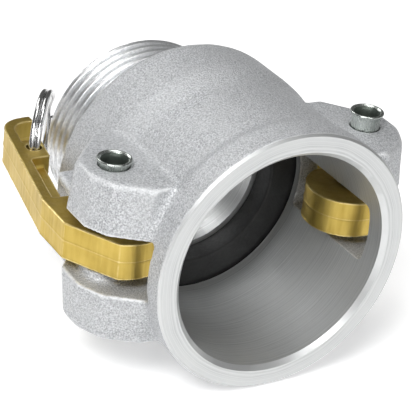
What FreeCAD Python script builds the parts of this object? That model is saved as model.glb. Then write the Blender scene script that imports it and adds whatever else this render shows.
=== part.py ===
import FreeCAD, Part
import math
import os
import Sketcher

# Cam and groove coupling: a cast socket with two brass cam levers, and a male pipe thread behind it.
# The origin is where the bore's axis meets the plane of the two lever pins. +Y runs along the bore
# towards the thread, and the pins stand along Z, one on each side of the bore.

SIZES = {
    # Cast body, along the bore from the mouth
    "bore_radius": 23.0,
    "bore_depth": 32.4,
    "mouth_radius": 27.7,
    "mouth_band": 7.0,
    "mouth_chamfer": 0.9,
    "mouth_bevel": 0.5,
    "wall": 4.0,
    "bulge_rise": 1.0,
    "bulge_start": 26.0,
    "bulge_slope": 6.6,
    "bulge_crest": 10.4,
    "shoulder_round": 8.8,
    "shoulder_drop": 3.6,
    "thread_radius": 20.955,
    "thread_length": 12.0,
    "thread_chamfer": 1.0,
    "thread_wall": 4.755,
    # Gasket and the recess that holds it
    "gasket_grip": 1.5,
    "gasket_width": 7.45,
    "gasket_thickness": 5.6,
    "gasket_fit": 0.1,
    "gasket_slack": 0.5,
    # Ears, the slot between them and the window in the wall
    "pin_offset": 28.8,
    "pin_from_mouth": 19.3,
    "ear_top": 16.9,
    "ear_front": 6.2,
    "ear_back": 33.5,
    "ear_reach": 7.6,
    "ear_draft": 5.0,
    "ear_corner": 3.6,
    "ear_edge": 1.2,
    "slot_height": 12.6,
    "guard_thickness": 2.0,
    "guard_back": 34.6,
    "window_front": 5.2,
    "window_back": 31.0,
    # Pivot pins
    "pin_radius": 3.0,
    "pin_flare": 0.5,
    "pin_flare_height": 1.2,
    "pin_cup": 2.2,
    "pin_cup_depth": 2.4,
    "pin_tail": 0.8,
    "pin_proud_left": 1.25,
    "pin_proud_right": 3.25,
    "pin_seat_fit": 0.02,
    "pin_running_fit": 0.08,
    # Cam levers, from the centre of the pin
    "lever_thickness": 7.8,
    "cam_radius": 8.6,
    "cam_offset_x": 2.6,
    "cam_offset_y": 0.65,
    "release_angle": 30.0,
    "release_gap": 0.3,
    "arm_outer": 8.0,
    "arm_bend": 13.0,
    "arm_taper": 10.4,
    "arm_length": 48.0,
    "arm_wall": 2.5,
    "arm_depth": 5.6,
    "arm_web": 3.0,
    "curl_length": 7.0,
    "curl_radius": 6.0,
    "hole_from_pin": 34.3,
    "hole_radius": 1.6,
    "hub_radius": 4.0,
    "spacer_radius": 4.8,
    "spacer_gap": 0.3,
    # Finger rings
    "ring_radius": 10.8,
    "ring_wire": 1.25,
    "ring_turn_overlap": 0.04,
    "ring_lean": 55.0,
}

doc = FreeCAD.newDocument("CamCoupler")
sheet = doc.addObject("Spreadsheet::Sheet", "Sizes")
for row, (alias, value) in enumerate(SIZES.items(), start=1):
    sheet.set("A%d" % row, alias)
    sheet.set("B%d" % row, str(value))
    sheet.setAlias("B%d" % row, alias)
doc.recompute()


def formula(words):
    """Puts the sheet's name in front of each size that an expression names."""
    out = []
    word = ""
    for sign in words + " ":
        if sign.isalnum() or sign == "_":
            word += sign
        else:
            out.append("Sizes." + word if word in SIZES else word)
            out.append(sign)
            word = ""
    return "".join(out).strip()


def number(words):
    """The present value of an expression of sizes."""
    value = sheet.evalExpression(formula(words))
    return float(getattr(value, "Value", value))


def new_body(name):
    body = doc.addObject("PartDesign::Body", name)
    body.Label = name
    return body


def plane_of(body, role):
    return next(f for f in body.Origin.OriginFeatures if f.Role == role)


def new_sketch(body, name, role, lift=None):
    """A sketch on one of the body's own planes, raised along that plane's normal."""
    sketch = body.newObject("Sketcher::SketchObject", name)
    sketch.AttachmentSupport = (plane_of(body, role), [""])
    sketch.MapMode = "FlatFace"
    if lift:
        sketch.setExpression("AttachmentOffset.Base.z", formula(lift))
    return sketch


def hold(sketch, kind, where, words):
    """Adds one driving dimension and binds it to the sheet."""
    index = sketch.addConstraint(Sketcher.Constraint(kind, *where, number(words)))
    sketch.setExpression("Constraints[%d]" % index, formula(words))


def outline(sketch, corners):
    """A closed outline of straight lines whose corners are pairs of expressions."""
    points = [FreeCAD.Vector(number(x), number(y), 0) for x, y in corners]
    lines = []
    for start, end in zip(points, points[1:] + points[:1]):
        lines.append(sketch.addGeometry(Part.LineSegment(start, end), False))
    for line, following in zip(lines, lines[1:] + lines[:1]):
        sketch.addConstraint(Sketcher.Constraint("Coincident", line, 2, following, 1))
    for line, (x, y) in zip(lines, corners):
        hold(sketch, "DistanceX", (-1, 1, line, 1), x)
        hold(sketch, "DistanceY", (-1, 1, line, 1), y)


def circle(sketch, x, y, radius):
    centre = FreeCAD.Vector(number(x), number(y), 0)
    ring = sketch.addGeometry(Part.Circle(centre, FreeCAD.Vector(0, 0, 1), number(radius)), False)
    hold(sketch, "DistanceX", (-1, 1, ring, 3), x)
    hold(sketch, "DistanceY", (-1, 1, ring, 3), y)
    hold(sketch, "Radius", (ring,), radius)


def pad(body, sketch, length, both_sides=True, taper=None):
    feature = body.newObject("PartDesign::Pad", sketch.Name + "_pad")
    feature.Profile = sketch
    feature.setExpression("Length", formula(length))
    feature.Midplane = both_sides
    if taper:
        feature.setExpression("TaperAngle", formula(taper))
    return feature


def pocket(body, sketch, length):
    feature = body.newObject("PartDesign::Pocket", sketch.Name + "_cut")
    feature.Profile = sketch
    feature.Midplane = True
    feature.setExpression("Length", formula(length))
    return feature


def revolve(body, sketch, kind):
    feature = body.newObject("PartDesign::" + kind, sketch.Name + "_turned")
    feature.Profile = sketch
    feature.ReferenceAxis = (sketch, ["V_Axis"])
    feature.Angle = 360.0
    return feature


def upright_edges(shape, places, reach=0.05):
    """Names of the edges along Z that pass within reach of one of the given places."""
    names = []
    for index, edge in enumerate(shape.Edges, start=1):
        if len(edge.Vertexes) != 2:
            continue
        low, high = (v.Point for v in edge.Vertexes)
        run = high - low
        if abs(run.z) < 0.9 * run.Length:
            continue
        middle = (low + high) * 0.5
        if any(math.hypot(middle.x - x, middle.y - y) < reach for x, y in places):
            names.append("Edge%d" % index)
    return names


def ear_edges(shape, rims):
    """The rim edges of the ears' flat ends, or the upright edges below them."""
    names = []
    reach = number("pin_offset - 0.2 * ear_reach")
    top = number("ear_top")
    for index, edge in enumerate(shape.Edges, start=1):
        ends = [v.Point for v in edge.Vertexes]
        if len(ends) != 2 or min(abs(p.x) for p in ends) < reach - 0.9:
            continue
        flat = all(abs(abs(p.z) - top) < 0.01 for p in ends)
        upright = abs(abs(ends[0].z) - abs(ends[1].z)) > 0.8 * (top - number("0.5 * slot_height"))
        outside = min(abs(p.x) for p in ends) > reach + 0.5
        if (rims and flat) or (not rims and upright and outside):
            names.append("Edge%d" % index)
    return names


def round_edges(body, base, name, edges, radius):
    feature = body.newObject("PartDesign::Fillet", name)
    feature.Base = (base, edges)
    feature.setExpression("Radius", formula(radius))
    return feature


def make_coupler_body():
    body = new_body("coupler_body")

    # Outside of the casting: mouth band, socket wall, bulge, shoulder and threaded end
    socket = "bore_radius + wall"
    bulge = socket + " + bulge_rise"
    crest_end = "bulge_start + bulge_slope + bulge_crest"
    shoulder = crest_end + " + shoulder_round"
    end = shoulder + " + thread_length"
    skin = new_sketch(body, "outer_profile", "XY_Plane")
    outline(skin, [
        ("0", "0"),
        ("mouth_radius - mouth_bevel", "0"),
        ("mouth_radius", "mouth_bevel"),
        ("mouth_radius", "mouth_band - 0.5 * mouth_bevel"),
        ("mouth_radius - 0.5 * mouth_bevel", "mouth_band"),
        (socket, "mouth_band + 1.5 * (mouth_radius - bore_radius - wall)"),
        (socket, "bulge_start"),
        (bulge + " - 0.15 * bulge_rise", "bulge_start + 0.75 * bulge_slope"),
        (bulge, "bulge_start + bulge_slope"),
        (bulge, crest_end),
        (bulge + " - 0.18 * shoulder_drop", crest_end + " + 0.45 * shoulder_round"),
        (bulge + " - 0.5 * shoulder_drop", crest_end + " + 0.8 * shoulder_round"),
        (bulge + " - shoulder_drop", shoulder),
        ("thread_radius", shoulder),
        ("thread_radius", end + " - thread_chamfer"),
        ("thread_radius - thread_chamfer", end),
        ("0", end),
    ])
    revolve(body, skin, "Revolution")

    # Ears above the slot, on both sides, with their draft, and the thin guards behind them
    ear_out = "pin_offset + ear_reach"
    ears = []
    for name, level, length, taper, corners in (
        ("ear", "0.5 * slot_height", "ear_top - 0.5 * slot_height", "-ear_draft", [
            ("0.7 * bore_radius", "ear_front"),
            ("pin_offset - 0.25 * ear_reach", "ear_front"),
            ("pin_offset + 0.62 * ear_reach", "pin_from_mouth - 1.14 * ear_reach"),
            (ear_out, "pin_from_mouth - 0.37 * ear_reach"),
            (ear_out, "pin_from_mouth + 0.5 * ear_reach"),
            ("pin_offset - 0.2 * ear_reach", "ear_back"),
            ("0.7 * bore_radius", "ear_back"),
        ]),
        ("guard", "0.5 * slot_height", "guard_thickness", None, [
            ("0.8 * bore_radius", "pin_from_mouth"),
            ("pin_offset + 0.7 * ear_reach", "pin_from_mouth"),
            ("pin_offset + 0.7 * ear_reach", "pin_from_mouth + 0.5 * ear_reach"),
            ("pin_offset + 0.5 * ear_reach", "guard_back"),
            ("0.8 * bore_radius", "guard_back"),
        ]),
    ):
        for side, sign in (("left", "-1"), ("right", "1")):
            sketch = new_sketch(body, name + "_outline_" + side, "XY_Plane", level)
            outline(sketch, [("%s * (%s)" % (sign, x), y) for x, y in corners])
            feature = pad(body, sketch, length, False, taper)
            doc.recompute()
            ears.append(feature)
    mirrored = body.newObject("PartDesign::Mirrored", "lower_ears")
    mirrored.Originals = ears
    mirrored.MirrorPlane = (plane_of(body, "XY_Plane"), [""])
    body.Tip = mirrored
    doc.recompute()

    # Soft cast corners: the upright edges of each ear first, then its top rim
    upright = ear_edges(mirrored.Shape, False)
    corners = round_edges(body, mirrored, "ear_corners", upright, "ear_corner")
    doc.recompute()
    rims = ear_edges(corners.Shape, True)
    round_edges(body, corners, "ear_rims", rims, "ear_edge")
    doc.recompute()

    # Inside: chamfered mouth, socket bore, gasket recess and the passage through the thread
    gasket_seat = "bore_depth + gasket_slack + gasket_thickness"
    recess = "bore_radius + gasket_grip + gasket_fit"
    passage = "thread_radius - thread_wall"
    hollow = new_sketch(body, "inner_profile", "XY_Plane")
    outline(hollow, [
        ("0", "-1"),
        ("bore_radius + mouth_chamfer + 1", "-1"),
        ("bore_radius", "mouth_chamfer"),
        ("bore_radius", "bore_depth"),
        (recess, "bore_depth"),
        (recess, gasket_seat),
        (passage, gasket_seat),
        (passage, end + " + 1"),
        ("0", end + " + 1"),
    ])
    revolve(body, hollow, "Groove")

    # The window that lets the cams into the bore, cut through both walls at once
    window = new_sketch(body, "cam_window", "XY_Plane")
    half = "bore_radius + wall + 8"
    outline(window, [
        ("-1 * (%s)" % half, "window_front"),
        (half, "window_front"),
        (half, "window_back"),
        ("-1 * (%s)" % half, "window_back"),
    ])
    pocket(body, window, "slot_height")

    # Spacers round the pins close the slot onto the lever
    spacers = []
    for side, sign in (("left", "-1"), ("right", "1")):
        ring = new_sketch(body, "spacer_" + side, "XY_Plane", "0.5 * lever_thickness + spacer_gap")
        circle(ring, sign + " * pin_offset", "pin_from_mouth", "spacer_radius")
        spacers.append(pad(body, ring, "0.5 * slot_height - 0.5 * lever_thickness - spacer_gap + 0.5", False))
        doc.recompute()
    lower = body.newObject("PartDesign::Mirrored", "lower_spacers")
    lower.Originals = spacers
    lower.MirrorPlane = (plane_of(body, "XY_Plane"), [""])
    body.Tip = lower
    doc.recompute()

    holes = new_sketch(body, "pin_holes", "XY_Plane")
    circle(holes, "-1 * pin_offset", "pin_from_mouth", "pin_radius + pin_seat_fit")
    circle(holes, "pin_offset", "pin_from_mouth", "pin_radius + pin_seat_fit")
    pocket(body, holes, "2 * ear_top + 4")
    body.setExpression("Placement.Base.y", formula("-1 * pin_from_mouth"))
    return body


def make_gasket():
    body = new_body("gasket")
    profile = new_sketch(body, "gasket_profile", "XY_Plane")
    front = "bore_depth + gasket_slack"
    back = front + " + gasket_thickness"
    outer = "bore_radius + gasket_grip"
    inner = outer + " - gasket_width"
    outline(profile, [
        (inner, front + " + 0.3"),
        (inner + " + 0.3", front),
        (outer + " - 0.3", front),
        (outer, front + " + 0.3"),
        (outer, back),
        (inner, back),
    ])
    revolve(body, profile, "Revolution")
    body.setExpression("Placement.Base.y", formula("-1 * pin_from_mouth"))
    return body


def make_cam_lever(side, sign):
    """One lever, drawn from its pin: X points away from the bore and Y towards the thread."""
    body = new_body("cam_lever_" + side)

    def across(words):
        return "%s * (%s)" % (sign, words)

    def drawn(name, corners, thickness):
        sketch = new_sketch(body, name, "XY_Plane")
        outline(sketch, [(across(x), y) for x, y in corners])
        return pad(body, sketch, thickness)

    # Eccentric cam, then the flat that clears the bore when the lever is open
    disc = new_sketch(body, "cam_disc", "XY_Plane")
    circle(disc, across("-1 * cam_offset_x"), "-1 * cam_offset_y", "cam_radius")
    pad(body, disc, "lever_thickness")

    flat = "(pin_offset - bore_radius - release_gap)"
    cut = new_sketch(body, "release_flat", "XY_Plane")

    def beside_flat(out, along):
        x = "(%s + %s) * cos(release_angle) + %s * sin(release_angle)" % (flat, out, along)
        y = "-1 * (%s + %s) * sin(release_angle) + %s * cos(release_angle)" % (flat, out, along)
        return across(x), y

    outline(cut, [
        beside_flat("0", "-2 * cam_radius"),
        beside_flat("2 * cam_radius", "-2 * cam_radius"),
        beside_flat("2 * cam_radius", "2 * cam_radius"),
        beside_flat("0", "2 * cam_radius"),
    ])
    pocket(body, cut, "lever_thickness + 2")

    # Solid root of the arm, then its outer wall, curled end and web
    lean = "tan(arm_taper)"
    root_y = "(arm_outer * cos(release_angle) - %s) / sin(release_angle)" % flat
    drawn("arm_root", [
        ("0", "0"),
        (flat + " * cos(release_angle)", "-1 * %s * sin(release_angle)" % flat),
        ("arm_outer", root_y),
        ("arm_outer", "arm_bend"),
        ("arm_outer - arm_depth", "arm_bend"),
        ("-1 * cam_offset_x - 0.2 * cam_radius", "0.72 * cam_radius"),
    ], "lever_thickness")
    tip_x = "arm_outer - (arm_length - arm_bend) * %s" % lean
    inner_tip_x = "arm_outer - arm_wall - (arm_length - arm_wall - arm_bend) * %s" % lean
    wall = drawn("arm_wall_outline", [
        ("arm_outer", "arm_bend - 2"),
        ("arm_outer", "arm_bend"),
        (tip_x, "arm_length"),
        (tip_x + " - curl_length", "arm_length"),
        (tip_x + " - curl_length", "arm_length - arm_wall"),
        (inner_tip_x, "arm_length - arm_wall"),
        ("arm_outer - arm_wall", "arm_bend"),
        ("arm_outer - arm_wall", "arm_bend - 2"),
    ], "lever_thickness")
    doc.recompute()
    factor = float(sign)
    outer_corner = [(factor * number(tip_x), number("arm_length"))]
    inner_corner = [(factor * number(inner_tip_x), number("arm_length - arm_wall"))]
    curl = round_edges(body, wall, "curl_outside", upright_edges(wall.Shape, outer_corner), "curl_radius")
    doc.recompute()
    round_edges(body, curl, "curl_inside", upright_edges(curl.Shape, inner_corner), "curl_radius - arm_wall")

    web_end = "arm_length - curl_radius"
    drawn("arm_web_outline", [
        ("arm_outer - 0.5 * arm_wall", "arm_bend - 2"),
        ("arm_outer - 0.5 * arm_wall", "arm_bend"),
        ("arm_outer - 0.5 * arm_wall - (%s - arm_bend) * %s" % (web_end, lean), web_end),
        ("arm_outer - arm_depth - (%s - arm_bend) * %s" % (web_end, lean), web_end),
        ("arm_outer - arm_depth", "arm_bend"),
        ("arm_outer - arm_depth", "arm_bend - 2"),
    ], "arm_web")

    # Hub for the finger ring, joined to the outer wall
    hub_x = "(arm_outer - arm_depth + 0.5 * arm_wall - (hole_from_pin - arm_bend) * %s)" % lean
    hub_out = "(arm_outer - 0.5 * arm_wall - (hole_from_pin - arm_bend) * %s)" % lean
    hub_front = "hole_from_pin - 1.2 * hub_radius"
    hub_back = "hole_from_pin + 0.6 * hub_radius"
    drawn("ring_hub", [
        (hub_x + " - 0.6 * hub_radius + 1.2 * hub_radius * %s" % lean, hub_front),
        (hub_out, hub_front),
        (hub_out, hub_back),
        (hub_x + " - 0.6 * hub_radius - 0.6 * hub_radius * %s" % lean, hub_back),
    ], "lever_thickness")
    holes = new_sketch(body, "ring_hole", "XY_Plane")
    circle(holes, across(hub_x), "hole_from_pin", "hole_radius")
    pocket(body, holes, "lever_thickness + 2")
    bore = new_sketch(body, "pin_bore", "XY_Plane")
    circle(bore, "0", "0", "pin_radius + pin_running_fit")
    pocket(body, bore, "lever_thickness + 2")

    body.setExpression("Placement.Base.x", formula(across("pin_offset")))
    return body, hub_x


def make_pivot_pin(side, sign):
    """A steel pin through both ears, hollow at its top and flared there to a rim."""
    body = new_body("pivot_pin_" + side)
    top = "ear_top + pin_proud_" + side
    flare = "pin_radius + pin_flare"
    profile = new_sketch(body, "pin_profile", "XZ_Plane")
    outline(profile, [
        ("0", "-1 * ear_top - pin_tail"),
        ("pin_radius - 0.5 * pin_tail", "-1 * ear_top - pin_tail"),
        ("pin_radius", "-1 * ear_top - 0.5 * pin_tail"),
        ("pin_radius", top + " - pin_flare_height"),
        (flare, top + " - 0.35 * pin_flare_height"),
        (flare, top + " - 0.15 * pin_flare_height"),
        (flare + " - 0.2", top),
        (flare + " - 0.45", top),
        ("pin_cup + 0.2", top + " - 0.45 * pin_cup_depth"),
        ("pin_cup", top + " - pin_cup_depth"),
        ("0", top + " - pin_cup_depth - 0.5"),
    ])
    revolve(body, profile, "Revolution")
    body.setExpression("Placement.Base.x", formula("%s * pin_offset" % sign))
    return body


def make_finger_ring(side, sign, hub_x):
    """A split ring of two turns that hangs in the hub's hole, drawn as two turns side by side."""
    name = "finger_ring_" + side
    turns = []
    for turn, half in (("a", "0.5"), ("b", "-0.5")):
        torus = doc.addObject("Part::Torus", "%s_turn_%s" % (name, turn))
        torus.setExpression("Radius1", formula("ring_radius"))
        torus.setExpression("Radius2", formula("0.5 * ring_wire"))
        torus.setExpression("Placement.Base.z", formula("%s * (ring_wire - ring_turn_overlap)" % half))
        turns.append(torus)
    ring = doc.addObject("Part::MultiFuse", name)
    ring.Label = name
    ring.Shapes = turns
    # The ring stands upright through the hole and leans behind the threaded end
    sag = "(ring_radius - sqrt(ring_radius ^ 2 - 0.25 * lever_thickness ^ 2))"
    out = "(ring_radius - 0.5 * %s)" % sag
    ring.setExpression("Placement.Base.x", formula(
        "%s * (pin_offset + %s - %s * cos(ring_lean))" % (sign, hub_x, out)))
    ring.setExpression("Placement.Base.y", formula(
        "hole_from_pin + %s * sin(ring_lean)" % out))
    across = FreeCAD.Rotation(FreeCAD.Vector(1, 0, 0), 90)
    turn_by = -float(sign) * number("ring_lean")
    ring.Placement.Rotation = FreeCAD.Rotation(FreeCAD.Vector(0, 0, 1), turn_by) * across
    return ring


parts = [make_coupler_body(), make_gasket()]
for side, sign in (("left", "-1"), ("right", "1")):
    lever, hub_x = make_cam_lever(side, sign)
    parts.append(lever)
    parts.append(make_pivot_pin(side, sign))
    parts.append(make_finger_ring(side, sign, hub_x))
doc.recompute()

for item in doc.Objects:
    if "Invalid" in item.State or "Error" in item.State:
        raise RuntimeError(item.Name + " failed: " + str(item.State))
os.makedirs("parts", exist_ok=True)
for part in parts:
    shape = part.Shape
    if shape.isNull() or not shape.isValid():
        raise RuntimeError(part.Label + " has no valid shape")
    shape.exportStep("parts/%s.step" % part.Label)
    print(part.Label, len(shape.Solids), "solid", round(shape.Volume, 1), "mm3", len(shape.Faces), "faces")
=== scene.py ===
# %% [markdown]
# # A cam and groove coupling in cast aluminium, brass and steel
# A hose end with a groove slides into the wide mouth, and two brass levers swing shut so that their
# round cams press it onto the gasket. The other end screws onto a pipe. The solid model already
# gives every place and size. This script adds what a solid model leaves plain: soft cast corners,
# a real helical thread, tool marks, sand-blasted grain, worn brass and bright wire.

# %% Load the solid model and keep its size
import math
import bmesh
import bpy
import numpy as np
from mathutils import Matrix, Vector, noise


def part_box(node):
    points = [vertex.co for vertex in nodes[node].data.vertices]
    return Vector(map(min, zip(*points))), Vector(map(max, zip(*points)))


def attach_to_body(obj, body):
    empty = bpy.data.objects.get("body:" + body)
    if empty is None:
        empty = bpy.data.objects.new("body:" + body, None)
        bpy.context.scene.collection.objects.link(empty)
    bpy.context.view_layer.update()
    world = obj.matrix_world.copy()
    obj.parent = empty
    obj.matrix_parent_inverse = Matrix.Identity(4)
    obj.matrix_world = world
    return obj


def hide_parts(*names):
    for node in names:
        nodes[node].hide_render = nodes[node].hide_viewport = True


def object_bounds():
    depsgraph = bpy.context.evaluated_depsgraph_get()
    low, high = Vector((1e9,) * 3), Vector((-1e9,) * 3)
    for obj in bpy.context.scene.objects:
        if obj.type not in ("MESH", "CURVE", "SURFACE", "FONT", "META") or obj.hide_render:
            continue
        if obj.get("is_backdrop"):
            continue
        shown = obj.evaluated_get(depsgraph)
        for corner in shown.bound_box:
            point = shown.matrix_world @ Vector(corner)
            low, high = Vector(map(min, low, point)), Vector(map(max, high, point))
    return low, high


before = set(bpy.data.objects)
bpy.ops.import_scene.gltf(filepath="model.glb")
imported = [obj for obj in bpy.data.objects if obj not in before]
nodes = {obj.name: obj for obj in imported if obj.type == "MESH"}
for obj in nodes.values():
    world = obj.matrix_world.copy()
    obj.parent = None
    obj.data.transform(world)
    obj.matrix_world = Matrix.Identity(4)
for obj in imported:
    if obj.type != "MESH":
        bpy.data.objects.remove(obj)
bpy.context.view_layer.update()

MM = 0.001
print("nodes:", ", ".join(sorted(nodes)))

# %% [markdown]
# ## Sizes that the pieces share
# Every length is in metres, in the frame of the solid model: the bore runs along Y and the lever
# pins stand along Z. The first values are read from the model's own boxes, so the pieces stay
# together if the model changes. The rest are the real sizes of a 1 1/4 inch coupling.

# %% Sizes
body_low, body_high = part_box("coupler_body")
gasket_low, gasket_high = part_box("gasket")
pin_low, pin_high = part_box("pivot_pin_left")

mouth_y = body_low.y
thread_end_y = body_high.y
bore_radius = 23.0 * MM
bore_end_y = gasket_low.y - 0.5 * MM
recess_radius = gasket_high.x + 0.1 * MM
passage_radius = 16.2 * MM
mouth_radius = 27.7 * MM
neck_y = thread_end_y - 14.2 * MM
thread_radius = 20.955 * MM
pin_x = 0.5 * abs(pin_low.x + pin_high.x)
slot_half = 6.3 * MM
window_front_y = mouth_y + 5.2 * MM
window_back_y = mouth_y + 31.0 * MM
print("mouth at", round(mouth_y / MM, 2), "mm, thread end at", round(thread_end_y / MM, 2), "mm")

# %% [markdown]
# ## Helpers for turned pieces
# Most of this coupling was turned or cast round one axis. A lathe shape is a closed outline of
# radius and place, swept round that axis in many small steps. Blender's Screw modifier can do it
# too. Here the rings are written out, because the outline then stays a short list that reads like
# a drawing, and the faces come out as one clean closed skin.


# %% Turned shapes
def new_piece(name, points, faces):
    """A mesh object from points in metres and lists of point numbers."""
    mesh = bpy.data.meshes.new(name)
    mesh.from_pydata([tuple(p) for p in points], [], faces)
    mesh.update()
    piece = bpy.data.objects.new(name, mesh)
    bpy.context.collection.objects.link(piece)
    return piece


def turned(name, outline, steps=192, axis="Y", centre=(0.0, 0.0, 0.0)):
    """Sweeps a closed outline of (radius, place) pairs round an axis.

    Points that lie on the axis are shared."""
    points = []
    rings = []
    for radius, place in outline:
        ring = []
        count = 1 if radius < 1e-9 else steps
        for step in range(count):
            angle = 2 * math.pi * step / steps
            across, up = radius * math.cos(angle), radius * math.sin(angle)
            at = (across, place, up) if axis == "Y" else (across, up, place)
            ring.append(len(points))
            points.append(Vector(at) + Vector(centre))
        rings.append(ring)
    faces = []
    for ring, following in zip(rings, rings[1:] + rings[:1]):
        if len(ring) == 1 and len(following) == 1:
            continue
        for step in range(steps):
            after = (step + 1) % steps
            corners = [
                ring[step % len(ring)],
                ring[after % len(ring)],
                following[after % len(following)],
                following[step % len(following)],
            ]
            faces.append(list(dict.fromkeys(corners)))
    piece = new_piece(name, points, faces)
    face_outwards(piece)
    return piece


def face_outwards(piece):
    """Welds doubled points and turns every face outwards."""
    work = bmesh.new()
    work.from_mesh(piece.data)
    bmesh.ops.remove_doubles(work, verts=work.verts, dist=1e-6)
    bmesh.ops.recalc_face_normals(work, faces=work.faces)
    work.to_mesh(piece.data)
    work.free()


def smooth_shading(piece, degrees=35.0):
    """Smooth shading that keeps edges sharper than the given angle."""
    mesh = piece.data
    mesh.shade_smooth()
    mesh.set_sharp_from_angle(angle=math.radians(degrees))


print("helpers: new_piece, turned, face_outwards, smooth_shading")

# %% [markdown]
# ## Helpers for cast pieces
# A sand casting has no sharp corners: the sand rounds them all. One way to get that is to bevel
# every edge by hand. The way used here is closer to the real process. The model's own solid is
# rebuilt as an even skin of small squares with the Remesh modifier, which also melts overlapping
# solids into one, and then relaxed with the Smooth modifier, which rounds every corner and fills
# every inside corner with a small fillet.


# %% Cast shapes
def copy_of_node(name, node):
    """A free copy of a solid of the model, welded along its seams."""
    piece = bpy.data.objects.new(name, nodes[node].data.copy())
    piece.data.materials.clear()
    bpy.context.collection.objects.link(piece)
    face_outwards(piece)
    return piece


def join(target, *others):
    """Adds the faces of other pieces to the target and removes those pieces."""
    work = bmesh.new()
    work.from_mesh(target.data)
    for other in others:
        work.from_mesh(other.data)
        bpy.data.objects.remove(other)
    work.to_mesh(target.data)
    work.free()
    return target


def bake_modifiers(piece):
    """Replaces a piece's mesh by what its modifiers make of it."""
    graph = bpy.context.evaluated_depsgraph_get()
    made = bpy.data.meshes.new_from_object(piece.evaluated_get(graph))
    piece.modifiers.clear()
    piece.data = made


def cast_skin(piece, square, rounds):
    """Rebuilds a piece as an even skin of squares, then relaxes it so that its corners go soft."""
    remesh = piece.modifiers.new("even skin", "REMESH")
    remesh.mode = "VOXEL"
    remesh.voxel_size = square
    relax = piece.modifiers.new("soft corners", "SMOOTH")
    relax.factor = 0.5
    relax.iterations = rounds
    bake_modifiers(piece)


def cut(piece, tool):
    """Takes the tool's volume out of the piece and removes the tool."""
    boolean = piece.modifiers.new("machining", "BOOLEAN")
    boolean.operation = "DIFFERENCE"
    boolean.solver = "MANIFOLD"
    boolean.object = tool
    bake_modifiers(piece)
    bpy.data.objects.remove(tool)


print("helpers: copy_of_node, join, bake_modifiers, cast_skin, cut")

# %% [markdown]
# ## Helpers for an uneven skin and worn corners
# Sand leaves a casting a little uneven, and handling rubs its corners bright. Both helpers take
# all the points of a skin at once, as arrays, because one by one would be slow. The first moves
# each point along its own normal, by smooth noise. The second stores how strongly the skin bends
# outwards at each point, so that a material can find the corners.


# %% Skin and corners
def skin_arrays(mesh):
    """The places and the normals of a mesh's points, as arrays of rows."""
    place = np.zeros(len(mesh.vertices) * 3, np.float32)
    facing = np.zeros(len(mesh.vertices) * 3, np.float32)
    mesh.vertices.foreach_get("co", place)
    mesh.vertex_normals.foreach_get("vector", facing)
    return place.reshape(-1, 3), facing.reshape(-1, 3)


def push_skin(mesh, heights):
    """Moves each point along its own normal."""
    place, facing = skin_arrays(mesh)
    mesh.vertices.foreach_set("co", (place + facing * heights[:, None]).ravel())
    mesh.update()


def uneven(piece, height, size, seed):
    """Moves the skin in and out a little, as sand leaves it, and mostly in."""
    inward = 0.7
    place, _ = skin_arrays(piece.data)
    shifted = place / size + seed
    push_skin(piece.data, np.array([height * (noise.noise(at) - inward) for at in shifted]))


def mark_edges(piece, reach):
    """Stores how strongly the skin bends outwards at each point, for wear on corners."""
    mesh = piece.data
    count = len(mesh.vertices)
    place, facing = skin_arrays(mesh)
    ends = np.zeros(len(mesh.edges) * 2, int)
    mesh.edges.foreach_get("vertices", ends)
    first, second = ends.reshape(-1, 2).T
    step = place[second] - place[first]
    length = np.maximum((step * step).sum(1), 1e-12)
    bend = ((facing[second] - facing[first]) * step).sum(1) / length
    total = np.bincount(first, bend, count) + np.bincount(second, bend, count)
    shares = np.bincount(first, minlength=count) + np.bincount(second, minlength=count)
    value = np.clip(total / np.maximum(shares, 1) * reach, -1.0, 1.0)
    layer = mesh.attributes.new("edge", "FLOAT", "POINT")
    layer.data.foreach_set("value", value.astype(np.float32))


print("helpers: skin_arrays, push_skin, uneven, mark_edges")

# %% [markdown]
# ## The cast body
# The body is one aluminium casting: socket, bulge for the gasket recess, shoulder and four ears.
# It leaves the mould with a rough, slightly uneven skin, and only then are the mouth, the bore and
# the recess turned on a lathe. The same order is used here. A solid core fills the hollow of the
# model first, so that the casting is made whole, and the window for the cams stays open in it.

# %% The casting before machining
stock = 1.3 * MM
core = turned("core", [
    (0.0, mouth_y - stock),
    (mouth_radius, mouth_y - stock),
    (mouth_radius, mouth_y + 2.0 * MM),
    (bore_radius + 1.4 * MM, mouth_y + 3.5 * MM),
    (bore_radius + 1.4 * MM, bore_end_y - 1.0 * MM),
    (recess_radius + 0.6 * MM, bore_end_y - 0.6 * MM),
    (recess_radius + 0.6 * MM, gasket_high.y + 0.6 * MM),
    (passage_radius + 1.0 * MM, gasket_high.y + 0.6 * MM),
    (passage_radius + 1.0 * MM, neck_y + 6.0 * MM),
    (0.0, neck_y + 6.0 * MM),
], steps=160)

window = new_piece("window", [
    (x, y, z)
    for x in (-40 * MM, 40 * MM)
    for y in (window_front_y, window_back_y)
    for z in (-slot_half, slot_half)
], [[0, 1, 3, 2], [4, 6, 7, 5], [0, 4, 5, 1], [2, 3, 7, 6], [0, 2, 6, 4], [1, 5, 7, 3]])
face_outwards(window)
cut(core, window)

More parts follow.
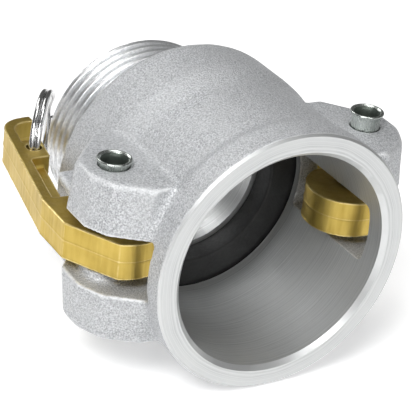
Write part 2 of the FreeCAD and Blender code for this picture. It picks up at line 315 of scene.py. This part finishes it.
# Behind its widest part the casting falls away to the neck of the thread more steeply than the
# solid model does, so the outer slope is cut before the corners go soft.
fall = [
    (28.6 * MM, neck_y - 7.4 * MM),
    (28.0 * MM, neck_y - 6.7 * MM),
    (27.4 * MM, neck_y - 5.6 * MM),
    (26.5 * MM, neck_y - 4.5 * MM),
    (23.0 * MM, neck_y - 0.9 * MM),
    (22.3 * MM, neck_y - 0.3 * MM),
    (21.6 * MM, neck_y + 0.4 * MM),
    (21.3 * MM, neck_y + 3.0 * MM),
    (36.0 * MM, neck_y + 3.0 * MM),
    (36.0 * MM, neck_y - 7.4 * MM),
]
casting = join(copy_of_node("cast_body", "coupler_body"), core)
cast_skin(casting, square=0.45 * MM, rounds=0)
cut(casting, turned("slope_cut", fall, steps=192))
cast_skin(casting, square=0.45 * MM, rounds=7)
uneven(casting, height=0.05 * MM, size=3.4 * MM, seed=3.0)
print("casting skin:", len(casting.data.polygons), "faces")

# %% [markdown]
# ### Machining
# The lathe faces the mouth, breaks its outer edge, bores the socket, cuts a lead-in chamfer, and
# opens the recess behind the bore. One turned tool shape holds all of these cuts, and a boolean
# takes it out of the casting. Edges that the tool makes come out crisp against the soft cast skin,
# which is what tells the eye that this surface was machined and that one was not. Where the bore
# ends, the tool leaves a thin burr standing.

# %% Mouth, bore, recess and pin holes
edge_break = 0.5 * MM
lead_in = 0.9 * MM
clear = 33 * MM  # a radius outside the casting's round part
drill_radius, drill_reach = 3.2 * MM, 25 * MM
tool_outline = [
    (0.0, mouth_y - 3 * MM),
    (clear, mouth_y - 3 * MM),
    (clear, mouth_y + clear - mouth_radius + edge_break),
    (mouth_radius - edge_break, mouth_y),
    (bore_radius + lead_in, mouth_y),
    (bore_radius, mouth_y + lead_in),
    (bore_radius, bore_end_y - 0.45 * MM),
    (bore_radius - 0.14 * MM, bore_end_y - 0.12 * MM),
    (bore_radius - 0.10 * MM, bore_end_y),
    (recess_radius, bore_end_y),
    (recess_radius, gasket_high.y),
    (passage_radius, gasket_high.y),
    (passage_radius, neck_y - 0.6 * MM),
    (passage_radius + 0.5 * MM, neck_y - 0.6 * MM),
    (passage_radius + 0.5 * MM, neck_y + 0.35 * MM),
    (clear, neck_y + 0.35 * MM),
    (clear, thread_end_y + 5 * MM),
    (0.0, thread_end_y + 5 * MM),
]
cut(casting, turned("lathe_cuts", tool_outline, steps=256))
hole_outline = [(0.0, -drill_reach), (drill_radius, -drill_reach),
                (drill_radius, drill_reach), (0.0, drill_reach)]
for side in (-1, 1):
    cut(casting, turned("drill", hole_outline, steps=64, axis="Z", centre=(side * pin_x, 0, 0)))
print("cut: mouth, bore, recess and pin holes")

# %% [markdown]
# ### Machined faces
# The machined faces take another finish than the cast ones. They are the faces whose middle lies
# on the outline of the turned tool, within a few hundredths of a millimetre.


# %% Find the machined faces
def machined_faces(piece, outline, reach=0.02 * MM):
    """Numbers of the faces whose middle lies on the tool's outline."""
    middle = np.array([p.center[:] for p in piece.data.polygons])
    flat = np.column_stack([np.hypot(middle[:, 0], middle[:, 2]), middle[:, 1]])
    nearest = np.full(len(flat), 1.0)
    for start, end in zip(outline, outline[1:]):
        a, run = np.array(start), np.array(end) - np.array(start)
        share = np.clip(((flat - a) @ run) / (run @ run), 0.0, 1.0)
        gap = np.linalg.norm(flat - a - share[:, None] * run, axis=1)
        nearest = np.minimum(nearest, gap)
    return np.flatnonzero(nearest < reach)


turned_faces = machined_faces(casting, tool_outline)
mark_edges(casting, reach=0.6 * MM)
smooth_shading(casting, 40)
print("casting:", len(casting.data.polygons), "faces,", len(turned_faces), "of them machined")

# %% [markdown]
# ## The pipe thread
# A parallel pipe thread of 11 turns per inch, 41.91 mm across its crests. Its crests are broad and
# blunted by handling, so that only narrow roots show as dark lines. A stack of rings would be
# simpler, but only a helix catches the light as a thread does. The skin is a grid of places along
# the axis and round it, and its radius follows the thread's own wave. At the free end the wave
# dies away into the chamfer that helps the thread to start.

# %% Shape of the thread
pitch = 25.4 * MM / 11
depth = 0.52 * pitch
thread_steps = 240
rows = 150
thread_start_y = neck_y - 0.5 * MM
root_share, flank_share = 0.06, 0.54
chamfer_length, chamfer_depth = 1.3 * MM, 1.1 * MM
runout_length = 1.0 * MM


def limited(share):
    """The share, held between 0 and 1."""
    return min(max(share, 0.0), 1.0)


def thread_wave(turns):
    """The height of the flank over one turn: 0 in the narrow root, 1 on the broad, blunt crest."""
    flank = abs(2.0 * (turns % 1.0) - 1.0)
    return 0.5 - 0.5 * math.cos(math.pi * limited((flank - root_share) / flank_share))


def thread_radius_at(y, angle):
    """The radius of the skin at a place along the axis and an angle round it."""
    ease = limited((thread_end_y - y) / chamfer_length)
    runout = limited((y - neck_y) / runout_length)
    wave = thread_wave(y / pitch - angle / (2 * math.pi))
    crest = thread_radius - (1.0 - ease) * chamfer_depth
    root = thread_radius - depth * runout
    return min(crest, root + (thread_radius - root) * wave)


print("thread:", round(pitch / MM, 3), "mm pitch,", round(depth / MM, 2), "mm deep")

# %% [markdown]
# ### The skin of the thread
# The rings of the grid run along the outside of the thread, turn in at the free end and come back
# along the plain passage inside, so that the piece is one closed skin.

# %% Helical thread
# Rings on the outside have no plain radius, because theirs changes with the angle.
levels = [(None, thread_start_y + (thread_end_y - thread_start_y) * row / rows)
          for row in range(rows + 1)]
levels += [(passage_radius + 0.6 * MM, thread_end_y), (passage_radius, thread_end_y - 0.6 * MM),
           (passage_radius, thread_start_y)]
points, faces = [], []
for plain_radius, y in levels:
    for step in range(thread_steps):
        angle = 2 * math.pi * step / thread_steps
        radius = plain_radius or thread_radius_at(y, angle)
        points.append((radius * math.cos(angle), y, radius * math.sin(angle)))
ring_count = len(levels)
for ring in range(ring_count):
    base, following = ring * thread_steps, (ring + 1) % ring_count * thread_steps
    for step in range(thread_steps):
        after = (step + 1) % thread_steps
        faces.append([base + step, base + after, following + after, following + step])
pipe_thread = new_piece("pipe_thread", points, faces)
face_outwards(pipe_thread)
smooth_shading(pipe_thread, 50)
print("thread:", round((thread_end_y - neck_y) / pitch, 1), "turns")

# %% [markdown]
# ## The gasket
# A flat rubber ring sits loose in the recess behind the bore. Moulded rubber has a small radius on
# each edge, so its outline is turned with short arcs.

# %% Gasket
def rounded_ring(inside, outside, front, back, radius, arc_steps=5):
    """The outline of a flat ring with rounded edges."""
    outline = []
    for centre_r, centre_y, start in (
        (outside - radius, front + radius, -90),
        (outside - radius, back - radius, 0),
        (inside + radius, back - radius, 90),
        (inside + radius, front + radius, 180),
    ):
        for step in range(arc_steps + 1):
            angle = math.radians(start + 90 * step / arc_steps)
            outline.append(
                (centre_r + radius * math.cos(angle), centre_y + radius * math.sin(angle)))
    return outline


gasket_width = 7.45 * MM
gasket_outside = gasket_high.x
gasket_inside = gasket_outside - gasket_width
gasket = turned("gasket_ring", rounded_ring(
    gasket_inside, gasket_outside, gasket_low.y, gasket_high.y - 0.02 * MM, 0.5 * MM), steps=160)
smooth_shading(gasket, 60)
print("gasket:", round(2 * gasket_inside / MM, 1), "mm inside")

# %% [markdown]
# ## The cam levers
# Each lever is one brass forging: a thick round cam on the pin, a solid root, and an arm like a
# shallow channel, with a wall on the outside, a thinner web and a hub for the finger ring. It is
# rebuilt from the model's solid as the body is, with finer squares because its edges are tighter.
# The two halves of the forging die never meet perfectly, so a thin raised line runs round it.

# %% Levers
flash_height, flash_half_width = 0.10, 0.22  # the raised line where the dies meet, in mm
die_shift = 0.05  # how far the upper half stands out over the lower one, in mm
inset = 0.17  # draws the skin in, so that the line stays inside the solid's outline, in mm


def forged_lever(side):
    """A lever with soft corners and a parting line."""
    lever = copy_of_node("brass_lever_" + side, "cam_lever_" + side)
    cast_skin(lever, square=0.20 * MM, rounds=10)
    mesh = lever.data
    place, facing = skin_arrays(mesh)
    level = place[:, 2] / MM
    upright = 1.0 - np.minimum(1.0, np.abs(facing[:, 2]) * 2.0)
    ridge = flash_height * np.exp(-(level / flash_half_width) ** 2)
    ridge += np.where(level > 0, die_shift, 0.0)
    push_skin(mesh, (ridge - inset) * upright * MM)
    uneven(lever, height=0.035 * MM, size=2.6 * MM, seed=11.0)
    mark_edges(lever, reach=0.5 * MM)
    smooth_shading(lever, 60)
    print(lever.name, len(mesh.polygons), "faces")
    return lever


levers = {side: forged_lever(side) for side in ("left", "right")}

# %% [markdown]
# ## The pivot pins
# A tubular rivet in each pair of ears. Its shank goes straight down through both ears and the
# lever, and its top is opened out by a cone into a thin flared rim round a dark cup.

# %% Pins
def pivot_pin(side):
    """A tubular rivet, drawn from its lower end up to the rim and down into the cup."""
    low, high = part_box("pivot_pin_" + side)
    top = high.z
    rim = 3.5 * MM
    shank = 3.0 * MM
    cup = 2.25 * MM
    outline = [
        (0.0, low.z),
        (shank - 0.45 * MM, low.z),
        (shank - 0.12 * MM, low.z + 0.12 * MM),
        (shank, low.z + 0.45 * MM),
        (shank, top - 1.6 * MM),
        (shank + 0.10 * MM, top - 1.15 * MM),
        (shank + 0.30 * MM, top - 0.65 * MM),
        (rim - 0.02 * MM, top - 0.38 * MM),
        (rim, top - 0.24 * MM),
        (rim - 0.10 * MM, top - 0.07 * MM),
        (rim - 0.26 * MM, top),
        (rim - 0.45 * MM, top - 0.04 * MM),
        (cup + 0.45 * MM, top - 0.35 * MM),
        (cup + 0.12 * MM, top - 0.85 * MM),
        (cup, top - 1.3 * MM),
        (cup - 0.05 * MM, top - 2.5 * MM),
        (cup - 0.5 * MM, top - 2.75 * MM),
        (0.0, top - 2.9 * MM),
    ]
    middle = 0.5 * (low.x + high.x)
    pin = turned("steel_pin_" + side, outline, steps=96, axis="Z", centre=(middle, 0.0, 0.0))
    smooth_shading(pin, 50)
    print(pin.name, "stands", round(top / MM, 2), "mm up")
    return pin


pins = {side: pivot_pin(side) for side in ("left", "right")}

# %% [markdown]
# ## The finger rings
# A split ring is one length of spring wire wound twice, with a short crossing where it steps from
# one turn to the other. A round outline is carried along that path, and a flat face closes each
# cut end. The ring passes through the lever's hub and leans behind the thread.

# %% Rings
def split_ring(side):
    """Two turns of round wire with a crossing between them."""
    low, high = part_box("finger_ring_" + side)
    centre = (low + high) * 0.5
    model_wire = 0.625 * MM
    ring_radius = 0.5 * (high.z - low.z) - model_wire
    wire_radius = 0.61 * MM
    lift = 0.605 * MM
    way = 1.0 if side == "left" else -1.0
    lean = math.radians(55.0)
    axis = Vector((way * math.sin(lean), -math.cos(lean), 0.0))
    out = Vector((-way * math.cos(lean), -math.sin(lean), 0.0))
    up = Vector((0.0, 0.0, 1.0))
    start, step_half = 0.42, 0.30  # the gap at each end and half the crossing, in radians
    count, around = 240, 14
    crossing_at = math.radians(150.0)
    points, faces = [], []
    for index in range(count + 1):
        turn = start + (4 * math.pi - 2 * start) * index / count
        share = limited((turn - 2 * math.pi + step_half) / (2 * step_half))
        level = lift * (1.0 - 2.0 * share * share * (3.0 - 2.0 * share))
        angle = turn + crossing_at
        radial = out * math.cos(angle) + up * math.sin(angle)
        middle = centre + radial * ring_radius + axis * level
        for step in range(around):
            bevel = 2 * math.pi * step / around
            out_of_wire = radial * math.cos(bevel) + axis * math.sin(bevel)
            points.append(middle + out_of_wire * wire_radius)
    for index in range(count):
        for step in range(around):
            after = (step + 1) % around
            base = index * around
            faces.append([base + step, base + after, base + around + after, base + around + step])
    faces.append(list(range(around)))
    faces.append(list(range(count * around, (count + 1) * around)))
    ring = new_piece("split_ring_" + side, points, faces)
    face_outwards(ring)
    smooth_shading(ring, 60)
    print(ring.name, round(2 * ring_radius / MM, 1), "mm across")
    return ring


rings = {side: split_ring(side) for side in ("left", "right")}

# %% [markdown]
# ## Shared effects
# Four effects return in several finishes, so each is a node group that is built once and placed
# with its own values: grain, turning marks, soft streaks and worn edges. A group only gives out
# masks and heights. The shader itself stays in each material. These helpers put nodes down and
# link them, so that a group reads as a short recipe.


# %% Helpers for nodes
def new_group(name, inputs, outputs):
    """An empty shader node group with named number sockets."""
    group = bpy.data.node_groups.new(name, "ShaderNodeTree")
    for label, value in inputs:
        socket = group.interface.new_socket(label, in_out="INPUT", socket_type="NodeSocketFloat")
        socket.default_value = value
    for label in outputs:
        group.interface.new_socket(label, in_out="OUTPUT", socket_type="NodeSocketFloat")
    given, out = group.nodes.new("NodeGroupInput"), group.nodes.new("NodeGroupOutput")
    print("node group:", name)
    return group, given.outputs, out.inputs


def node(tree, kind, values=None, **settings):
    """One node. A value is a plain one, or another node's output, which is then linked."""
    made = tree.nodes.new("ShaderNode" + kind)
    for key, value in settings.items():
        setattr(made, key, value)
    for key, value in (values or {}).items():
        if isinstance(value, bpy.types.NodeSocket):
            tree.links.new(value, made.inputs[key])
        else:
            made.inputs[key].default_value = value
    return made


def combine(tree, operation, first, second=0.0, **settings):
    """One step of arithmetic on two masks or numbers."""
    made = node(tree, "Math", {0: first, 1: second}, operation=operation, **settings)
    return made.outputs["Value"]


def ranged(tree, mask, from_low, from_high, to_low=0.0, to_high=1.0):
    """A mask stretched from one range of values to another."""
    made = node(tree, "MapRange", {
        "Value": mask, "From Min": from_low, "From Max": from_high,
        "To Min": to_low, "To Max": to_high})
    return made.outputs["Result"]


def cloud(tree, place, scale, detail, roughness=0.5):
    """Soft noise: a higher scale makes it finer."""
    made = node(tree, "TexNoise", {
        "Vector": place, "Scale": scale, "Detail": detail, "Roughness": roughness})
    return made.outputs["Fac"]


def object_place(tree):
    """Places in metres that move with the piece."""
    return node(tree, "TexCoord").outputs["Object"]


print("helpers: new_group, node, combine, ranged, cloud, object_place")

# %% [markdown]
# ### Sand grain
# Sand and grit leave fine specks. Larger soft patches lie behind them, because no casting is
# equally clean all over. The specks come out as one mask and the patches as another.

# %% Grain
sand_grain, given, out = new_group(
    "sand grain", [("Scale", 2600.0), ("Patches", 0.35)], ["Grain", "Patch"])
place = object_place(sand_grain)
specks = ranged(sand_grain, cloud(sand_grain, place, given["Scale"], 2.0, 0.6), 0.34, 0.66)
patches = ranged(sand_grain, cloud(sand_grain, place, 160.0, 3.0, 0.55), 0.35, 0.65)
sand_grain.links.new(specks, out["Grain"])
sand_grain.links.new(combine(sand_grain, "MULTIPLY", patches, given["Patches"]), out["Patch"])

# %% [markdown]
# ### Turning marks
# A lathe tool leaves rings. They are counted along the bore and outwards across the face, so one
# value, the distance from the axis plus the place along it, numbers them on both. It wanders a
# little, and noise in one dimension turns it into uneven lines.

# %% Marks of the lathe
turning_marks, given, out = new_group("turning marks", [("Scale", 2200.0)], ["Lines"])
wander_width = 1.2 * MM
place = object_place(turning_marks)
parts = node(turning_marks, "SeparateXYZ", {"Vector": place}).outputs
squares = [combine(turning_marks, "MULTIPLY", parts[key], parts[key]) for key in ("X", "Z")]
radius = combine(turning_marks, "SQRT", combine(turning_marks, "ADD", *squares))
along = combine(turning_marks, "ADD", radius, parts["Y"])
drift = combine(turning_marks, "MULTIPLY", cloud(turning_marks, place, 90.0, 2.0), wander_width)
lines = node(turning_marks, "TexNoise", {
    "W": combine(turning_marks, "ADD", along, drift),
    "Scale": given["Scale"], "Detail": 2.0, "Roughness": 0.7}, noise_dimensions="1D")
turning_marks.links.new(ranged(turning_marks, lines.outputs["Fac"], 0.3, 0.7), out["Lines"])

# %% [markdown]
# ### Soft streaks
# Tumbling and polishing leave soft streaks. Noise that is drawn out along Z makes them, and a
# second noise that isn't drawn out gives clouds of stain.

# %% Streaks
soft_streaks, given, out = new_group(
    "soft streaks", [("Scale", 700.0)], ["Streaks", "Clouds"])
place = object_place(soft_streaks)
drawn_out = node(soft_streaks, "Mapping", {"Vector": place, "Scale": (1.0, 1.0, 0.12)})
streaks = cloud(soft_streaks, drawn_out.outputs["Vector"], given["Scale"], 3.0, 0.6)
stains = cloud(soft_streaks, place, 140.0, 3.0)
soft_streaks.links.new(ranged(soft_streaks, streaks, 0.3, 0.7), out["Streaks"])
soft_streaks.links.new(ranged(soft_streaks, stains, 0.32, 0.68), out["Clouds"])

# %% [markdown]
# ### Edge wear
# Outside corners are rubbed bright. The bend of the skin was stored on each point above, and fine
# noise breaks the mask up, so that the wear is ragged.

# %% Wear
edge_wear, given, out = new_group("edge wear", [("Amount", 1.0)], ["Worn"])
bend = node(edge_wear, "Attribute", attribute_name="edge").outputs["Fac"]
spots = cloud(edge_wear, object_place(edge_wear), 900.0, 2.0)
ragged = ranged(edge_wear, spots, 0.35, 0.6, 0.5, 1.0)
corner = combine(edge_wear, "MULTIPLY", ranged(edge_wear, bend, 0.12, 0.5), ragged)
edge_wear.links.new(
    combine(edge_wear, "MULTIPLY", corner, given["Amount"], use_clamp=True), out["Worn"])

# %% [markdown]
# ## Finishes
# A finish starts from one Principled shader. Masks from the groups choose between two or three
# plain colours of that metal, change how rough it is, and push the light about with a bump, so
# that no surface is one flat colour.


# %% Helpers for finishes
def finish(name, metallic):
    """A material with one Principled shader that is equally metallic all over."""
    material = bpy.data.materials.new(name)
    material.use_nodes = True
    shader = material.node_tree.nodes["Principled BSDF"]
    shader.inputs["Metallic"].default_value = metallic
    print("finish:", name)
    return material, material.node_tree, shader


def placed(tree, group, **values):
    """A node group put down with its own values."""
    made = tree.nodes.new("ShaderNodeGroup")
    made.node_tree = group
    for key, value in values.items():
        made.inputs[key].default_value = value
    return made.outputs


def blend_colours(tree, mask, first, second):
    """A mix of two colours, each a plain colour or another node's socket."""
    mix = node(tree, "Mix", data_type="RGBA")
    tree.links.new(mask, mix.inputs["Factor"])
    for key, colour in (("A", first), ("B", second)):
        socket = next(s for s in mix.inputs if s.name == key and s.type == "RGBA")
        if isinstance(colour, tuple):
            socket.default_value = (*colour, 1.0)
        else:
            tree.links.new(colour, socket)
    return next(s for s in mix.outputs if s.type == "RGBA")


def dress(tree, shader, colour, mask, rough, depth):
    """Gives the shader its colour. One mask drives how rough it is, between two values, and how
    deep its bump is."""
    bump = node(tree, "Bump", {"Height": mask, "Distance": depth, "Strength": 1.0})
    tree.links.new(colour, shader.inputs["Base Color"])
    tree.links.new(ranged(tree, mask, 0.0, 1.0, *rough), shader.inputs["Roughness"])
    tree.links.new(bump.outputs["Normal"], shader.inputs["Normal"])


print("helpers: finish, placed, blend_colours, dress")

# %% [markdown]
# ### Blasted aluminium
# The casting was blasted with fine grit, which leaves a pale, even skin full of tiny facets that
# glitter. The grain drives colour and bump together, so a dark pit is also a low one.

# %% Blasted casting
cast_metal, tree, shader = finish("blasted aluminium", metallic=0.55)
grain = placed(tree, sand_grain, Scale=3000.0, Patches=0.35)
worn = placed(tree, edge_wear, Amount=1.2)
speckled = blend_colours(tree, grain["Grain"], (0.33, 0.34, 0.355), (0.74, 0.75, 0.765))
patchy = blend_colours(tree, grain["Patch"], speckled, (0.60, 0.61, 0.62))
edged = blend_colours(tree, worn["Worn"], patchy, (0.83, 0.84, 0.85))
dress(tree, shader, edged, grain["Grain"], rough=(0.62, 0.40), depth=0.09 * MM)

# %% [markdown]
# ### Turned aluminium
# Where the lathe cut, the metal is brighter and smoother, with fine rings that follow the tool.
# The marks run round the bore and round the face of the mouth.

# %% Turned mouth and bore
turned_metal, tree, shader = finish("turned aluminium", metallic=0.8)
marks = placed(tree, turning_marks, Scale=2600.0)
grain = placed(tree, sand_grain, Scale=900.0, Patches=0.6)
lined = blend_colours(tree, marks["Lines"], (0.54, 0.55, 0.55), (0.69, 0.70, 0.70))
patchy = blend_colours(tree, grain["Patch"], lined, (0.65, 0.66, 0.655))
dress(tree, shader, patchy, marks["Lines"], rough=(0.52, 0.38), depth=0.016 * MM)

# %% [markdown]
# ### Thread metal
# The thread is cut and then handled, so it is brighter than the casting, and light scuffs cross
# it.

# %% Thread
thread_metal, tree, shader = finish("cut thread aluminium", metallic=0.95)
grain = placed(tree, sand_grain, Scale=1500.0, Patches=0.6)
scuffed = blend_colours(tree, grain["Grain"], (0.66, 0.67, 0.68), (0.90, 0.91, 0.92))
patchy = blend_colours(tree, grain["Patch"], scuffed, (0.78, 0.79, 0.80))
dress(tree, shader, patchy, grain["Grain"], rough=(0.48, 0.34), depth=0.02 * MM)

# %% [markdown]
# ### Brass
# Forged brass comes out yellow and goes tan and brown where hands and air reach it. Clouds mix
# the yellow with the tan, streaks vary the gloss, and the corners are rubbed back to bright metal.

# %% Brass
brass, tree, shader = finish("forged brass", metallic=1.0)
streaks = placed(tree, soft_streaks, Scale=900.0)
worn = placed(tree, edge_wear, Amount=0.7)
cloudy = blend_colours(tree, streaks["Clouds"], (0.44, 0.31, 0.065), (0.58, 0.42, 0.10))
half_streaks = ranged(tree, streaks["Streaks"], 0.0, 1.0, 0.0, 0.5)
streaky = blend_colours(tree, half_streaks, cloudy, (0.64, 0.48, 0.14))
edged = blend_colours(tree, worn["Worn"], streaky, (0.90, 0.75, 0.36))
dress(tree, shader, edged, streaks["Streaks"], rough=(0.50, 0.36), depth=0.018 * MM)

# %% [markdown]
# ### Rubber and wire
# The gasket is black with a dull sheen and a faint grain. The ring is bright wire, smooth enough
# to mirror the room, with a faint drawn line.

# %% Gasket rubber and ring wire
rubber, tree, shader = finish("black rubber", metallic=0.0)
grain = placed(tree, sand_grain, Scale=1400.0, Patches=0.5)
dusty = blend_colours(tree, grain["Patch"], (0.012, 0.012, 0.012), (0.030, 0.030, 0.030))
dress(tree, shader, dusty, grain["Grain"], rough=(0.50, 0.62), depth=0.02 * MM)

wire, tree, shader = finish("bright spring wire", metallic=1.0)
grain = placed(tree, sand_grain, Scale=1200.0, Patches=0.5)
shiny = blend_colours(tree, grain["Patch"], (0.62, 0.62, 0.62), (0.78, 0.78, 0.78))
dress(tree, shader, shiny, grain["Grain"], rough=(0.14, 0.22), depth=0.01 * MM)

# %% [markdown]
# ### Plated pin
# The pin's zinc plating is greyish with a hint of green, with fine streaks down its shank. Its cup
# is painted dark, as painted shade for the deep cup and for old oil in it.

# %% Plating and cup
plated, tree, shader = finish("zinc plated steel", metallic=1.0)
streaks = placed(tree, soft_streaks, Scale=1600.0)
tinted = blend_colours(tree, streaks["Clouds"], (0.36, 0.40, 0.37), (0.58, 0.61, 0.58))
most_streaks = ranged(tree, streaks["Streaks"], 0.0, 1.0, 0.0, 0.6)
bright = blend_colours(tree, most_streaks, tinted, (0.66, 0.69, 0.66))
dress(tree, shader, bright, streaks["Streaks"], rough=(0.34, 0.20), depth=0.006 * MM)

# Painted shade: the cup's colour is darkened for the shade inside the deep cup, together with old
# oil.
cup_metal, tree, shader = finish("dark cup", metallic=0.6)
grain = placed(tree, sand_grain, Scale=1800.0, Patches=0.5)
shade_and_oil = blend_colours(tree, grain["Patch"], (0.045, 0.055, 0.048), (0.12, 0.14, 0.12))
dress(tree, shader, shade_and_oil, grain["Grain"], rough=(0.50, 0.35), depth=0.03 * MM)

# %% [markdown]
# ## Put the pieces in place
# Each piece takes its finish and its material slot, stands for the solid that it was made from,
# and rides on that solid's body, so that it moves when the levers do. The faces that the lathe
# cut and the cups of the pins take the second finish of their piece.


# %% Assign and attach
def attach(piece, body, stands_for, slot, *materials):
    """Ties a piece to the solid that it stands for."""
    piece.data.materials.clear()
    for material in materials:
        piece.data.materials.append(material)
    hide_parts(stands_for)
    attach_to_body(piece, body)


attach(casting, "coupler", "coupler_body", "cast_body", cast_metal, turned_metal)
index = np.zeros(len(casting.data.polygons), np.int32)
index[turned_faces] = 1
casting.data.polygons.foreach_set("material_index", index)
attach(pipe_thread, "coupler", "coupler_body", "cast_body", thread_metal)
attach(gasket, "coupler", "gasket", "gasket", rubber)
cup_radius, cup_start, cup_end = 2.6 * MM, 0.45 * MM, 3.0 * MM
for side in ("left", "right"):
    attach(pins[side], "coupler", "pivot_pin_" + side, "pin", plated, cup_metal)
    low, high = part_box("pivot_pin_" + side)
    # The faces inside the cup take the dark finish: painted shade for the deep cup, with old oil.
    for face in pins[side].data.polygons:
        across = math.hypot(face.center.x - 0.5 * (low.x + high.x), face.center.y)
        if across < cup_radius and cup_start < high.z - face.center.z < cup_end:
            face.material_index = 1
    attach(levers[side], side + "_lever", "cam_lever_" + side, "lever", brass)
    attach(rings[side], side + "_ring", "finger_ring_" + side, "ring", wire)

# %% [markdown]
# ## Floor
# The coupling lies on a white sweep. The floor is a plain white surface that still takes the
# shadow. For the camera and in reflections it gives off enough light of its own to read as white
# paper, and that light never falls on the coupling.

# %% White floor
half_floor = 3.0
paper_glow = 0.42
floor = new_piece("floor", [
    (x * half_floor, y * half_floor, body_low.z)
    for x, y in ((-1, -1), (1, -1), (1, 1), (-1, 1))
], [[0, 1, 2, 3]])
paper = bpy.data.materials.new("white paper")
paper.use_nodes = True
tree = paper.node_tree
tree.nodes.clear()
seen = node(tree, "LightPath").outputs
shown = combine(tree, "MAXIMUM", seen["Is Camera Ray"], seen["Is Glossy Ray"])
shown = combine(tree, "MAXIMUM", shown, seen["Is Transmission Ray"])
glow = node(tree, "Emission", {
    "Color": (1, 1, 1, 1), "Strength": combine(tree, "MULTIPLY", shown, paper_glow)})
matt = node(tree, "BsdfDiffuse", {"Color": (0.82, 0.82, 0.82, 1)})
both = node(tree, "AddShader", {0: matt.outputs["BSDF"], 1: glow.outputs["Emission"]})
node(tree, "OutputMaterial", {"Surface": both.outputs["Shader"]})
floor.data.materials.append(paper)
floor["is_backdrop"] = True
print("floor:", 2 * half_floor, "m wide")

# %% [markdown]
# ## Light
# A soft lamp stands high on the left, a weaker one low in front, one hangs overhead, and one
# behind picks out the thread. Their powers were set against each other, so that each face of the
# casting comes out as bright as it should. A dim, even room fills the shadows, and where the
# camera looks past the floor it sees that room as white.


# %% Lamps and room
def lamp(name, place, size, power):
    """A round soft lamp that faces the coupling."""
    data = bpy.data.lights.new(name, "AREA")
    data.shape = "DISK"
    data.size = size
    data.energy = power
    stand = bpy.data.objects.new(name, data)
    stand.location = place
    stand.rotation_euler = (-Vector(place)).to_track_quat("-Z", "Y").to_euler()
    bpy.context.collection.objects.link(stand)


lamp("key", (-0.45, -0.30, 0.60), 0.36, 4.7)
lamp("front", (-0.08, -0.62, 0.42), 0.36, 1.5)
lamp("overhead", (0.0, 0.05, 0.75), 0.42, 1.5)
lamp("rear", (-0.14, 0.60, 0.50), 0.36, 1.2)

dim_room, white_room = 0.12, 1.0
room = bpy.data.worlds.new("pale room")
room.use_nodes = True
tree = room.node_tree
seen = node(tree, "LightPath").outputs
shown = combine(tree, "MAXIMUM", seen["Is Camera Ray"], seen["Is Transmission Ray"])
backdrop = tree.nodes["Background"].inputs
backdrop["Color"].default_value = (1, 1, 1, 1)
tree.links.new(ranged(tree, shown, 0.0, 1.0, dim_room, white_room), backdrop["Strength"])
bpy.context.scene.world = room
print("lamps:", len(bpy.data.lights))

# %% [markdown]
# ## Camera
# The camera looks a little down into the mouth, from the front left, through a long lens, so that
# the far end is hardly smaller than the near one.

# %% Camera
yaw, pitch, roll = 0.5811, 0.4852, 0.1262
ahead = Vector((
    math.sin(yaw) * math.cos(pitch), math.cos(yaw) * math.cos(pitch), -math.sin(pitch)))
level_right = Vector((math.cos(yaw), -math.sin(yaw), 0.0))
level_up = level_right.cross(ahead)
right = level_right * math.cos(roll) + level_up * math.sin(roll)
up = right.cross(ahead)
view_data = bpy.data.cameras.new("view")
view_data.lens = 149.69
view_data.sensor_width = 36.0
view_data.shift_x = 0.0019
view_data.shift_y = 0.0021
view_data.clip_start = 0.01
camera = bpy.data.objects.new("view", view_data)
camera.location = (-0.17274, -0.25268, 0.16277)
camera.rotation_euler = Matrix((right, up, -ahead)).transposed().to_euler()
bpy.context.collection.objects.link(camera)
bpy.context.scene.camera = camera
bpy.context.scene.view_settings.view_transform = "Standard"
print("lens", view_data.lens, "mm")

# %% [markdown]
# ## Sizes of the result
# The box of the dressed pieces is printed. It should nearly agree with the box of the solid model,
# because this script adds looks and no size.

# %% Print the size of the result
low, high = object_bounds()
print("visual size in mm:", [round((b - a) / MM, 2) for a, b in zip(low, high)])
